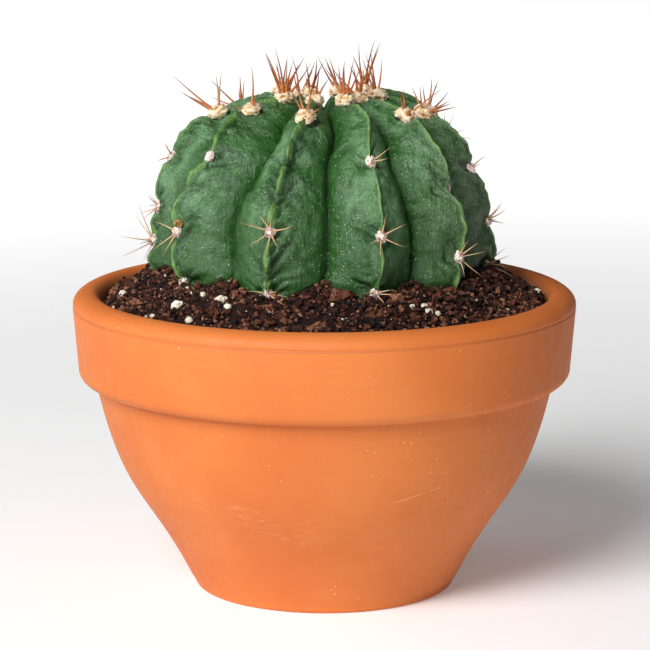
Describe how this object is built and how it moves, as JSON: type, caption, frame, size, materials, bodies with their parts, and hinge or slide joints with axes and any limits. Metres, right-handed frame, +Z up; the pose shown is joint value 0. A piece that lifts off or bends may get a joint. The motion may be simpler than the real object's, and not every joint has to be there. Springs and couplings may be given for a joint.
{
  "type": "potted cactus",
  "caption": "Ribbed ball cactus with felted areoles and spines, standing in heaped soil in a plain clay bowl pot with a drainage hole.",
  "frame": {"origin": "centre of the pot's underside, in the plane it rests on", "axes": "+Z up along the pot's axis, -Y towards the front, +X to the right"},
  "size_m": [0.18, 0.18, 0.1966],
  "materials": {
    "terracotta": "unglazed fired clay, matt, with fine specks",
    "potting_soil": "moist dark crumbs of peat and bark with white perlite",
    "cactus_skin": "waxy green skin with a grey bloom",
    "spines": "cream felt pads with stiff tan to red-brown spines"
  },
  "bodies": {
    "root": {"areole_01_1": "spines", "areole_01_2": "spines", "areole_01_5": "spines", "areole_01_6": "spines", "areole_02_1": "spines", "areole_02_3": "spines", "areole_02_5": "spines", "areole_02_6": "spines", "areole_03_1": "spines", "areole_03_2": "spines", "areole_03_5": "spines", "areole_04_1": "spines", "areole_04_2": "spines", "areole_04_4": "spines", "areole_04_5": "spines", "areole_04_6": "spines", "areole_05_1": "spines", "areole_05_2": "spines", "areole_05_3": "spines", "areole_05_5": "spines", "areole_05_6": "spines", "areole_06_1": "spines", "areole_06_2": "spines", "areole_06_3": "spines", "areole_06_5": "spines", "areole_06_6": "spines", "areole_07_1": "spines", "areole_07_2": "spines", "areole_07_3": "spines", "areole_07_5": "spines", "areole_07_6": "spines", "areole_08_1": "spines", "areole_08_2": "spines", "areole_08_3": "spines", "areole_08_5": "spines", "areole_08_6": "spines", "areole_09_2": "spines", "areole_09_3": "spines", "areole_09_4": "spines", "areole_09_5": "spines", "areole_10_1": "spines", "areole_10_2": "spines", "areole_10_3": "spines", "areole_10_5": "spines", "areole_10_6": "spines", "pot": "terracotta", "soil": "potting_soil", "stem": "cactus_skin"}
  },
  "joints": []
}
